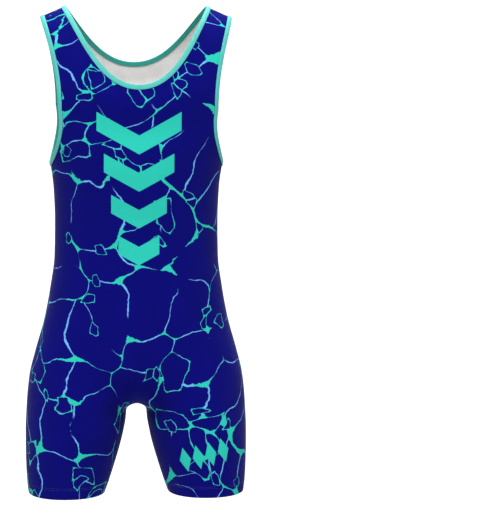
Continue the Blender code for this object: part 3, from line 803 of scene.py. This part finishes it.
def make_tape(name, node, ring):
    """The section carried round a ring. Its UV runs along the ring and round the section, in metres."""
    section = tape_section()
    points = tape_point(ring, section[:, 0], section[:, 1])
    rows, sides = points.shape[:2]
    index = np.pad(np.arange(rows * sides).reshape(rows, sides), ((0, 1), (0, 1)), mode="wrap")
    squares = np.ones((rows, sides), bool)
    faces = grid_quads(index, squares)
    steps = np.linalg.norm(np.diff(ring[:, 0], axis=0, append=ring[:1, 0]), axis=1)
    girths = np.linalg.norm(np.diff(section, axis=0, append=section[:1]), axis=1)
    around, girth = (np.concatenate([[0], np.cumsum(v)]) for v in (steps, girths))
    uv = np.stack([grid_quads(v, squares) for v in np.meshgrid(around, girth, indexing="ij")], axis=-1)
    points = points.reshape(-1, 3)
    a, b, c, d = (points[faces[:, i]] for i in range(4))
    if ((a * np.cross(b, c)).sum() + (a * np.cross(c, d)).sum()) < 0:
        faces, uv = faces[:, ::-1], uv[:, ::-1]
    obj = mesh_object(name, points, faces, uv.reshape(-1, 2))
    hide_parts(node)
    print(name, "ring", round(float(steps.sum()), 3), "m", len(faces), "faces")
    return obj, float(steps.sum())


neck_ring, arm_ring = closed_ring(NECK), closed_ring(ARM)
mirrored_arm_ring = arm_ring * (-1, 1, 1)
neck_tape, neck_length = make_tape("neck_tape", "neck_binding", neck_ring)
arm_tape_left, arm_length = make_tape("arm_tape_left", "armhole_binding_left", arm_ring)
arm_tape_right, _ = make_tape("arm_tape_right", "armhole_binding_right", mirrored_arm_ring)

# %% [markdown]
# ## The sewing
#
# Every stitch is a short tapered thread lying in the cloth's face, because at this scale thread shows
# as relief and not as a drawn line. The tape is held by one row near its edge. The seams are flat: two
# rows, one on each side of the join. The hems have two rows as well.

# %% Stitches from arrays
STITCH, STITCH_PITCH, THREAD = 0.0022, 0.0029, 0.00022    # length, distance apart, half thickness
THREAD_END = 0.00002          # half thickness at a stitch's ends
THREAD_RISE, FIRST_STITCH = 0.4, 0.3    # out of the cloth, in THREADs, and in from a row's start
# How far along a stitch, and how thick it is there, as shares.
STITCH_SHAPE = np.array([(0.0, 0.0), (0.16, 0.75), (0.5, 1.0), (0.84, 0.75), (1.0, 0.0)])


def stitch_mesh(name, rows):
    """One mesh of all stitches along rows of points with their normals."""
    corners = np.linspace(0, 2 * math.pi, 5)[:-1] + math.pi / 4
    points, faces, count = [], [], 0
    for line, normals in rows:
        along = np.concatenate([[0], np.cumsum(np.linalg.norm(np.diff(line, axis=0), axis=1))])
        starts = np.arange(FIRST_STITCH * STITCH_PITCH, along[-1] - STITCH, STITCH_PITCH)
        at = starts[:, None] + STITCH_SHAPE[:, 0] * STITCH
        centre = np.stack([np.interp(at, along, line[:, i]) for i in range(3)], axis=-1)
        up = np.stack([np.interp(at, along, normals[:, i]) for i in range(3)], axis=-1)
        up /= np.linalg.norm(up, axis=-1, keepdims=True)
        way = np.gradient(centre, axis=1)
        aside = np.cross(up, way)
        aside /= np.linalg.norm(aside, axis=-1, keepdims=True)
        thick = (THREAD * STITCH_SHAPE[:, 1] + THREAD_END)[None, :, None, None]
        around = aside[:, :, None] * np.cos(corners)[:, None] + up[:, :, None] * np.sin(corners)[:, None]
        shell = centre[:, :, None] + around * thick + up[:, :, None] * THREAD * THREAD_RISE
        index = count + np.arange(shell[..., 0].size).reshape(shell.shape[:3])
        turned = np.roll(index, -1, axis=2)
        sides = np.stack([index[:, :-1], turned[:, :-1], turned[:, 1:], index[:, 1:]], axis=-1)
        ends = np.concatenate([index[:, 0, ::-1], index[:, -1]])
        points.append(shell.reshape(-1, 3))
        faces += [sides.reshape(-1, 4), ends]
        count += index.size
    obj = mesh_object(name, np.concatenate(points), np.concatenate(faces))
    print(name, count // (4 * len(STITCH_SHAPE)), "stitches")
    return obj

# %% Rows on the cloth
FLATLOCK = 0.0021             # from a seam to the row on each side of it
TAPE_MARGIN = 0.0014          # from the tape's inner edge to its row
HEM_STITCHING = 0.017, 0.020  # two rows above the hem, near the turned up cloth's end
MARGIN, CROTCH_MARGIN = 0.001, 0.004    # a row ends this far from an edge, and from the crotch


def laid(side, points):
    """The points of a panel's face nearest to these."""
    return np.array([faces_of[side].find_nearest(Vector(p))[0] for p in points])


def on_cloth(side, share, level, step=1e-4):
    """Points and normals of a panel's face at these shares and levels."""
    def at(a, b):
        return panel_point(side, a, a * math.pi / 2, b)
    share, level = np.broadcast_arrays(np.asarray(share, float), np.asarray(level, float))
    inward = np.where(share > 0.5, -step, step)
    across = at(share + inward, level) - at(share, level)
    up = at(share, level + step) - at(share, level - step)
    normal = np.cross(across, up) * (np.sign(inward) * -side)[:, None]
    return laid(side, at(share, level)), normal / np.linalg.norm(normal, axis=1, keepdims=True)


def both_halves(rows):
    """The rows and their mirror images."""
    return rows + [(line * (-1, 1, 1), normal * (-1, 1, 1)) for line, normal in rows]


def tape_row(ring):
    """The topstitching of one tape: a closed row near its inner edge, on its outer half."""
    line = tape_point(ring, [BINDING_WIDTH - TAPE_MARGIN], [TAPE_OVER + TAPE])[:, 0]
    normal = ring[:, 2]
    return np.concatenate([line, line[:1]]), np.concatenate([normal, normal[:1]])


def beside_seam(side, level, seam):
    """A row FLATLOCK from the side seam, which is share 1, or from the inside leg, which is share 0.

    A first guess of the share is corrected six times, by the wanted distance over the measured one.
    """
    guess = np.full(len(level), 0.01)
    start = on_cloth(side, np.full(len(level), seam), level)[0]
    for _ in range(6):
        there = on_cloth(side, np.abs(seam - guess), level)[0]
        guess = guess * FLATLOCK / np.maximum(np.linalg.norm(there - start, axis=1), 1e-6)
    return on_cloth(side, np.abs(seam - guess), level)


def shoulder_row(side):
    """A row beside the shoulder seam, from tape to tape."""
    turn = np.linspace(neck_edge(side)[0][0], arm_edge(side)[0][0], 41)[8:-8]
    level = np.full(turn.shape, TOP - FLATLOCK)
    return laid(side, body_point(side, turn, level)), outward(side, turn, level)

# %% All the sewing
tape_rows = [tape_row(ring) for ring in (neck_ring, arm_ring, mirrored_arm_ring)]
tape_stitches = stitch_mesh("tape_stitches", tape_rows)

hem_share = np.linspace(0.004, 0.996, 200)
rows = [on_cloth(side, hem_share, HEM + up) for side in (FRONT, BACK) for up in HEM_STITCHING]
hem_stitches = stitch_mesh("hem_stitches", both_halves(rows))

side_level = np.linspace(UNDERARM - BINDING_WIDTH - MARGIN, HEM + MARGIN, 500)
leg_level = np.linspace(CROTCH - CROTCH_MARGIN, HEM + MARGIN, 150)
rows = [beside_seam(side, side_level, 1.0) for side in (FRONT, BACK)]
rows += [beside_seam(side, leg_level, 0.0) for side in (FRONT, BACK)]
rows += [shoulder_row(side) for side in (FRONT, BACK)]
seam_stitches = stitch_mesh("seam_stitches", both_halves(rows))

# %% [markdown]
# ## Materials
#
# A printed knit is a ground colour with ink on it. Both follow formulas here, because a formula stays sharp
# at any distance and an image doesn't. Formulas are written as arithmetic on sockets: each sum or product
# becomes a node.

# %% Arithmetic on sockets
class Value:
    """A socket of a node tree with which formulas can be written."""

    def __init__(self, tree, socket):
        self.tree, self.socket = tree, socket

    def maths(self, operation, *others, clamp=False):
        """A Math node with this value first."""
        made = self.tree.nodes.new("ShaderNodeMath")
        made.operation, made.use_clamp = operation, clamp
        for place, other in zip(made.inputs, (self, *others)):
            feed(self.tree, place, other)
        return Value(self.tree, made.outputs[0])

    def __add__(self, other):
        return self.maths("ADD", other)

    def __sub__(self, other):
        return self.maths("SUBTRACT", other)

    def __mul__(self, other):
        return self.maths("MULTIPLY", other)

    def __truediv__(self, other):
        return self.maths("DIVIDE", other)

    def __abs__(self):
        return self.maths("ABSOLUTE")

    def __lt__(self, other):
        return self.maths("LESS_THAN", other)

    def __gt__(self, other):
        return self.maths("GREATER_THAN", other)

    def step(self, low, high):
        """0 up to low, 1 from high on and an S curve between. low may be the greater."""
        made = self.tree.nodes.new("ShaderNodeMapRange")
        made.interpolation_type = "SMOOTHSTEP"
        for place, other in zip(made.inputs, (self, low, high, 0.0, 1.0)):
            feed(self.tree, place, other)
        return Value(self.tree, made.outputs[0])

# %% Nodes and groups
def feed(tree, place, value):
    """Links a value into a socket, or sets the socket to a number or a colour."""
    if isinstance(value, Value):
        tree.links.new(value.socket, place)
    else:
        place.default_value = value


def node(tree, kind, fed, output=0, **settings):
    """A node with its settings and what feeds its sockets. One of its outputs is the value."""
    made = tree.nodes.new("ShaderNode" + kind)
    for name, value in settings.items():
        setattr(made, name, value)
    for name, value in fed.items():
        feed(tree, made.inputs[name], value)
    return Value(tree, made.outputs[output])


def outputs_of(value):
    """Every output of the node that a value comes from."""
    return [Value(value.tree, socket) for socket in value.socket.node.outputs]


def parts_of(vector):
    """A vector's three numbers."""
    return outputs_of(node(vector.tree, "SeparateXYZ", {0: vector}))


def noise(place, scale, detail=0.0, output=0):
    """Flat noise about a half. scale is how many waves go into a metre."""
    fed = {"Vector": place, "Scale": scale, "Detail": detail}
    return node(place.tree, "TexNoise", fed, output, noise_dimensions="2D")


def shifted(place, other, by):
    """A place moved by a share of another vector."""
    return node(place.tree, "VectorMath", {0: other, 1: (by, by, by), 2: place}, operation="MULTIPLY_ADD")


def painted(tree, share, first, second):
    """The second colour painted over a share of the first."""
    made = tree.nodes.new("ShaderNodeMix")
    made.data_type = "RGBA"
    for place, value in ((0, share), (6, first), (7, second)):
        feed(tree, made.inputs[place], value)
    return Value(tree, made.outputs[2])


def group(name, inputs, outputs):
    """A shader node group with named sockets: its tree, its inputs as values and its output sockets."""
    tree = bpy.data.node_groups.new(name, "ShaderNodeTree")
    for label, kind, value in inputs:
        socket = tree.interface.new_socket(label, in_out="INPUT", socket_type="NodeSocket" + kind)
        if value is not None:
            socket.default_value = value
    for label in outputs:
        tree.interface.new_socket(label, in_out="OUTPUT", socket_type="NodeSocketFloat")
    entry, end = tree.nodes.new("NodeGroupInput"), tree.nodes.new("NodeGroupOutput")
    return tree, {label: Value(tree, entry.outputs[label]) for label, _, _ in inputs}, end.inputs


def placed(tree, made, fed):
    """A group placed in a tree."""
    inner = tree.nodes.new("ShaderNodeGroup")
    inner.node_tree = made
    for name, value in fed.items():
        feed(tree, inner.inputs[name], value)
    return Value(tree, inner.outputs[0])

# %% [markdown]
# ### The marbled print
#
# The print looks like cracks of light in deep blue. Cells of a Voronoi pattern, their place stirred by
# noise, give the net of lines. The difference between the plain and the smoothed distance to the cells'
# centres is greatest where three cells meet, and gives the stars. Noise lets lines thin out and end.
# Here and there a line splits round a small cell. So two finer nets lie over the big one, and each of
# their cells that is chosen by chance and lies on a big line is ringed and hides the line inside it.

# %% Marbled cracks
# How many waves go into a metre, their detail, and how far they stir the print.
STIRS = ((8.0, 0.0, 0.062), (27.0, 0.0, 0.016), (130.0, 1.0, 0.0026))
# A small cell's size, the share that is chosen, how near a line it lies, and how sharp its corners' ink is.
SMALL_CELLS = ((0.044, 0.40, 0.013, 0.90), (0.0190, 0.46, 0.0065, 0.76))
CELL_SMOOTHNESS = 0.8


def cell_net(spot, size):
    """Distance to a net's lines, in metres, how near a star's middle a place is, and the nearest cell."""
    tree, flat = spot.tree, {"voronoi_dimensions": "2D"}
    fed = {"Vector": spot, "Scale": node(tree, "Math", {0: 1.0, 1: size}, operation="DIVIDE")}
    to_line = node(tree, "TexVoronoi", fed, feature="DISTANCE_TO_EDGE", **flat)
    to_centre = node(tree, "TexVoronoi", fed, feature="F1", **flat)
    softened = node(tree, "TexVoronoi", {**fed, "Smoothness": CELL_SMOOTHNESS}, feature="SMOOTH_F1", **flat)
    star = (to_centre - softened) / (CELL_SMOOTHNESS / 8)
    return to_line * size, star, outputs_of(to_centre)[1:3]


cracks, given, out = group(
    "marbled cracks",
    (("Place", "Vector", None), ("Cell", "Float", 0.080), ("Line", "Float", 0.0009)),
    ("Ink", "Thread", "Near Star"))
place = given["Place"]
spot = place
for scale, detail, by in STIRS:
    spot = shifted(spot, noise(place, scale, detail, output="Color"), by)

# Where the print is rich, where its lines end, and how ragged its ink and lines are.
reach = noise(place, 8.0, 1.0).step(0.36, 0.66)
presence = noise(shifted(place, place, 2.0), 3.0, 1.0).step(0.38, 0.45)
grit = (noise(place, 240.0, 1.0) - 0.5) * 0.22
ragged = (noise(place, 70.0, 1.0) - 0.5) * 0.0034

to_line, star, _ = cell_net(spot, given["Cell"])
ink = (star + grit + (reach * 0.42 - 1.40)).step(0.0, 0.04)
thread = (to_line + ragged * 0.5 - given["Line"] * (reach * 0.8 + 0.05)).step(0.0009, 0.0) * presence
for size, share, closeness, limit in SMALL_CELLS:
    line, corner, (chance, centre) = cell_net(spot, size)
    from_line, _, _ = cell_net(centre, given["Cell"])
    chosen = (chance < share) * (from_line < closeness) * (noise(centre, 9.0) > 0.50)
    elsewhere = chosen * -1.0 + 1.0
    thread = (thread * elsewhere).maths("MAXIMUM", (line + ragged).step(0.0014, 0.0003) * chosen)
    ink = (ink * elsewhere).maths("MAXIMUM", (corner + grit - limit).step(0.0, 0.06) * chosen)
feed(cracks, out["Ink"], ink)
feed(cracks, out["Thread"], thread)
feed(cracks, out["Near Star"], (star + ragged * 60.0).step(1.02, 1.38))
print(cracks.name, len(cracks.nodes), "nodes")

# %% [markdown]
# ### The printed figures
#
# Solid figures are printed over the cracks: a column of chevrons on the front, which narrow downwards, a
# field of lozenges high on the back, and a row of four small ones on the left thigh. They are formulas of
# where a point stands on the object, so they lie flat on the garment whatever its cloth does.

# %% Chevrons
CHEVRONS, CHEVRON_TOP, CHEVRON_PITCH, CHEVRON_SLOPE = 4, 0.200, 0.062, 0.55
CHEVRON_HALF, CHEVRON_NARROWS = 0.070, 0.012

figures, given, out = group("printed figures", (("Place", "Vector", None),), ("Figure",))
x, y, z = parts_of(given["Place"])
rows = (abs(x) * CHEVRON_SLOPE - z - CHEVRON_TOP) / CHEVRON_PITCH
row = rows.maths("FLOOR")
in_column = (row > -0.5) * (row < CHEVRONS - 0.5) * (abs(x) < row * -CHEVRON_NARROWS + CHEVRON_HALF)
chevrons = ((rows - row) < 0.50) * in_column

# %% Lozenges
FIELD_X, FIELD_Z, FIELD_ACROSS, FIELD_DOWN = 0.0145, -0.215, 0.029, 0.044
THIGH_X, THIGH_Z, THIGH_PITCH, THIGH_COS, THIGH_SIN = 0.112, -0.745, 0.022, 0.97, 0.24


def lozenge(across, up, half_width, half_height):
    """1 in a lozenge: the shares of its half width and half height add up to less than 1."""
    return (abs(across) / half_width + abs(up) / half_height) < 1.0


def part_of_row(value, pitch, lowest, highest):
    """How far a place lies from the middle of its part of a row, and past the row's ends."""
    nearest_part = (value / pitch).maths("ROUND").maths("MAXIMUM", lowest).maths("MINIMUM", highest)
    return value - nearest_part * pitch


field = lozenge(part_of_row(x - FIELD_X, FIELD_ACROSS, -2.0, 1.0),
                part_of_row(z - FIELD_Z, FIELD_DOWN, -1.0, 1.0), 0.0125, 0.0195)
along = (x - THIGH_X) * THIGH_COS + (z - THIGH_Z) * THIGH_SIN
up = (z - THIGH_Z) * THIGH_COS - (x - THIGH_X) * THIGH_SIN
on_thigh = lozenge(part_of_row(along - THIGH_PITCH / 2, THIGH_PITCH, -2.0, 1.0), up, 0.0095, 0.022)
in_front = (y < 0.0) * (chevrons + on_thigh)
feed(figures, out["Figure"], in_front.maths("ADD", (y > 0.0) * field, clamp=True))
print(figures.name, len(figures.nodes), "nodes")

# %% [markdown]
# ### Knit, tape and thread
#
# Tricot has fine upright ribs, under a millimetre each, and its stretch yarn has a soft sheen.
# The tape's ribs run across it. Both are one pattern with other numbers, as a bump: ribs this fine would
# need millions of faces. The print is laid over a ground colour that is a little uneven, as dyed yarn is.

# %% Fine ribs
ribs, given, out = group(
    "fine ribs",
    (("Place", "Vector", None), ("Rib", "Float", 0.0008), ("Loop", "Float", 0.0007)),
    ("Height", "Wear"))
u, v, _ = parts_of(given["Place"])
rib = (u * (2 * math.pi) / given["Rib"]).maths("SINE")
loop = (v * (2 * math.pi) / given["Loop"] + rib * 1.2).maths("SINE")
feed(ribs, out["Height"], rib * 0.6 + loop * 0.4)
feed(ribs, out["Wear"], noise(given["Place"], 24.0, 3.0))
print(ribs.name, len(ribs.nodes), "nodes")

# %% Fabrics
NAVY, TEAL, PALE_BLUE = (0.0026, 0.0027, 0.125, 1), (0.020, 0.420, 0.335, 1), (0.12, 0.345, 0.65, 1)
THREAD_TEAL, UNPRINTED = (0.05, 0.52, 0.50, 1), (0.64, 0.63, 0.62, 1)
# The tape's second, darker teal is painted shade: the same tape darkened for the shade on the half folded
# inside.
TAPE_TEAL, TAPE_PAINTED_SHADE = (0.062, 0.38, 0.345, 1), (0.024, 0.27, 0.225, 1)
INSIDE_FROM, INSIDE_TO = 0.0085, 0.0100   # how far round the tape its inner half begins
DARKER, UNEVEN_GLOSS = 0.92, 0.12


def material(name, sockets):
    """A material with numbers and colours set on its shader's sockets, and that shader."""
    made = bpy.data.materials.new(name)
    made.use_nodes = True
    shader = made.node_tree.nodes["Principled BSDF"]
    for socket, value in sockets.items():
        shader.inputs[socket].default_value = value
    return made, shader


def fabric(name, colour, paint=None, *, rib, loop, depth, rough, specular, sheen):
    """A ribbed fabric, a little uneven in gloss and colour. paint lays more colours over its own."""
    made, shader = material(
        name, {"Specular IOR Level": specular, "Sheen Weight": sheen, "Sheen Roughness": 0.5})
    tree = made.node_tree
    place = node(tree, "UVMap", {}, uv_map="cloth")
    height, wear = outputs_of(placed(tree, ribs, {"Place": place, "Rib": rib, "Loop": loop}))
    feed(tree, shader.inputs["Normal"], node(tree, "Bump", {"Distance": depth, "Height": height}))
    feed(tree, shader.inputs["Roughness"], wear * UNEVEN_GLOSS + (rough - UNEVEN_GLOSS / 2))
    worn = painted(tree, wear.step(0.3, 0.7), colour, (*(part * DARKER for part in colour[:3]), 1))
    feed(tree, shader.inputs["Base Color"], paint(tree, place, worn) if paint else worn)
    return made


def print_colours(tree, place, ground):
    """The cracks over the ground colour and the figures over both."""
    ink, thread, near_star = outputs_of(placed(tree, cracks, {"Place": place}))
    figure = placed(tree, figures, {"Place": node(tree, "TexCoord", {}, output="Object")})
    colour = painted(tree, thread, ground, painted(tree, near_star, PALE_BLUE, THREAD_TEAL))
    return painted(tree, ink.maths("MAXIMUM", figure), colour, TEAL)


def tape_with_painted_shade(tree, place, outside):
    """The tape's colour, with painted shade: darker on the half that is folded inside, where v is past the
    fold.
    """
    return painted(tree, parts_of(place)[1].step(INSIDE_FROM, INSIDE_TO), outside, TAPE_PAINTED_SHADE)


printed_knit = fabric("printed_knit", NAVY, print_colours, rib=0.0008, loop=0.0007, depth=0.00005,
                      rough=0.50, specular=0.004, sheen=0.02)
unprinted_knit = fabric("unprinted_knit", UNPRINTED, rib=0.0008, loop=0.0007, depth=0.00004,
                        rough=0.8, specular=0.2, sheen=0.1)
tape_knit = fabric("tape", TAPE_TEAL, tape_with_painted_shade, rib=0.0012, loop=0.0009, depth=0.00012,
                   rough=0.6, specular=0.2, sheen=0.05)
teal_thread, _ = material("teal_thread", {"Base Color": (0.09, 0.50, 0.45, 1), "Roughness": 0.5})
navy_thread, _ = material("navy_thread", {"Base Color": (0.003, 0.003, 0.13, 1), "Roughness": 0.5})

for pieces, finishes in (
        ((front_cloth, back_cloth), (printed_knit, unprinted_knit)),
        ((neck_tape, arm_tape_left, arm_tape_right), (tape_knit,)),
        ((tape_stitches,), (teal_thread,)),
        ((hem_stitches, seam_stitches), (navy_thread,))):
    for piece in pieces:
        for finish in finishes:
            piece.data.materials.append(finish)
        print(piece.name, "in", ", ".join(finish.name for finish in finishes))

# %% [markdown]
# ## What the cloth was cut from
#
# A stretch garment is cut smaller than the body and pulled to it: its panels by 15% across and 5% along,
# with the hems turned down, and its tapes by 5% along.

# %% [markdown]
# ## Floor, light and camera
#
# The garment hangs free over a plain pale floor, far enough below it to take no shadow. Two wide suns,
# one in front and one behind, shade it softly from above. The camera stands at the photograph's angle.
# It looks past the garment, which so stands in the frame's left half.

# %% The floor
FLOOR, FLOOR_HALF = -1.45, 600.0
corners = [(x * FLOOR_HALF, y * FLOOR_HALF, FLOOR) for x, y in ((-1, -1), (1, -1), (1, 1), (-1, 1))]
mesh = bpy.data.meshes.new("floor")
mesh.from_pydata(corners, [], [(0, 1, 2, 3)])
floor = bpy.data.objects.new("floor", mesh)
bpy.context.scene.collection.objects.link(floor)
mesh.materials.append(material("pale_floor", {"Base Color": (0.42, 0.42, 0.42, 1), "Roughness": 0.9})[0])
print("floor", FLOOR, "m")

# %% Light
WORLD_STRENGTH = 0.15
world = bpy.data.worlds.new("studio")
bpy.context.scene.world = world
world.use_nodes = True
world.node_tree.nodes["Background"].inputs["Color"].default_value = (1, 1, 1, 1)
world.node_tree.nodes["Background"].inputs["Strength"].default_value = WORLD_STRENGTH
bpy.context.scene.view_settings.view_transform = "Standard"


def sun(name, place, strength, spread):
    """A soft sun that shines from a place towards the middle. spread is its width in degrees."""
    light = bpy.data.lights.new(name, "SUN")
    light.energy, light.angle = strength, math.radians(spread)
    obj = bpy.data.objects.new(name, light)
    obj.rotation_euler = Vector(place).to_track_quat("Z", "Y").to_euler()
    bpy.context.scene.collection.objects.link(obj)
    print("sun", name, strength)


sun("key", place=(-0.12, -1.0, 1.8), strength=5.4, spread=30)
sun("back", place=(0.12, 1.0, 1.7), strength=4.8, spread=30)

# %% Camera
DISTANCE, EYE, PITCH, TURN = 3.8, 0.06, 7.13, 2.4       # metres, and degrees
FOCAL, OBJECT_COLUMN, FRAME_WIDTH, FRAME_HEIGHT = 2243.0, 136.4, 504, 514       # pixels
SENSOR, CLIP_END = 36.0, 2000.0
camera = bpy.data.objects.new("camera", bpy.data.cameras.new("camera"))
bpy.context.scene.collection.objects.link(camera)
camera.data.sensor_width, camera.data.clip_end = SENSOR, CLIP_END
camera.data.lens = SENSOR * FOCAL / FRAME_HEIGHT
aside = math.atan((FRAME_WIDTH / 2 - OBJECT_COLUMN) / FOCAL)
turned = Matrix.Rotation(math.radians(-TURN), 4, "Z")
tipped = Matrix.Rotation(math.radians(90 - PITCH), 4, "X")
camera.matrix_world = (turned @ Matrix.Translation((0, -DISTANCE, EYE)) @ tipped
                       @ Matrix.Rotation(-aside, 4, "Y"))
bpy.context.scene.camera = camera
print("lens", round(camera.data.lens, 1), "mm")
